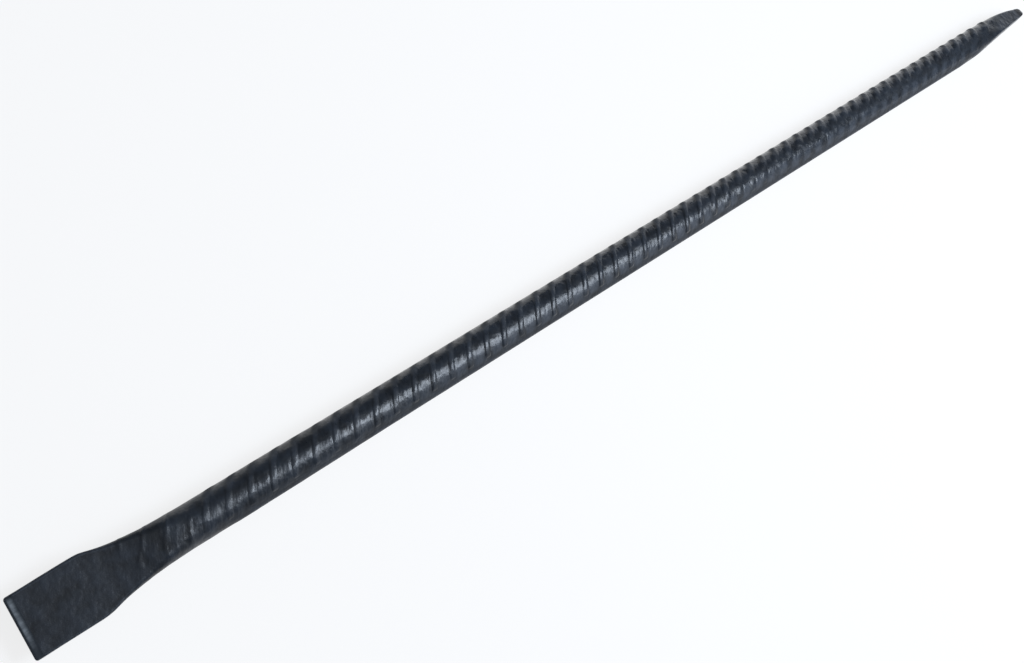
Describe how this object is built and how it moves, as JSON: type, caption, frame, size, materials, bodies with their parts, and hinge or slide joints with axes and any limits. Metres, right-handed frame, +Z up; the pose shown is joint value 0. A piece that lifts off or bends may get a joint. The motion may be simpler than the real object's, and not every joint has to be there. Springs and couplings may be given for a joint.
{
  "type": "digging bar",
  "caption": "Straight digging bar of ribbed reinforcing steel with a flared, ground chisel blade at one end and a blunt hammered point at the other.",
  "frame": {"origin": "centre of the bounding box's bottom face, under the bar's axis and half way along it", "axes": "+X along the bar from the chisel edge to the point, +Y across the blade, +Z up, square to the blade's width"},
  "size_m": [0.9999, 0.0372, 0.0271],
  "materials": {
    "painted_steel": "thin satin blue-black paint over hot-rolled steel",
    "ground_edge": "coarse ground bevel, thinly painted over",
    "worn_nose": "satin blue-black paint, a little scuffed at the tip"
  },
  "bodies": {
    "root": {"chisel_edge": "ground_edge", "chisel_blade": "painted_steel", "neck": "painted_steel", "shank_core": "painted_steel", "seam_rib_near": "painted_steel", "seam_rib_far": "painted_steel", "cross_ribs_front": "painted_steel", "cross_ribs_rear": "painted_steel", "point_taper": "painted_steel", "point_nose": "worn_nose"}
  },
  "joints": []
}
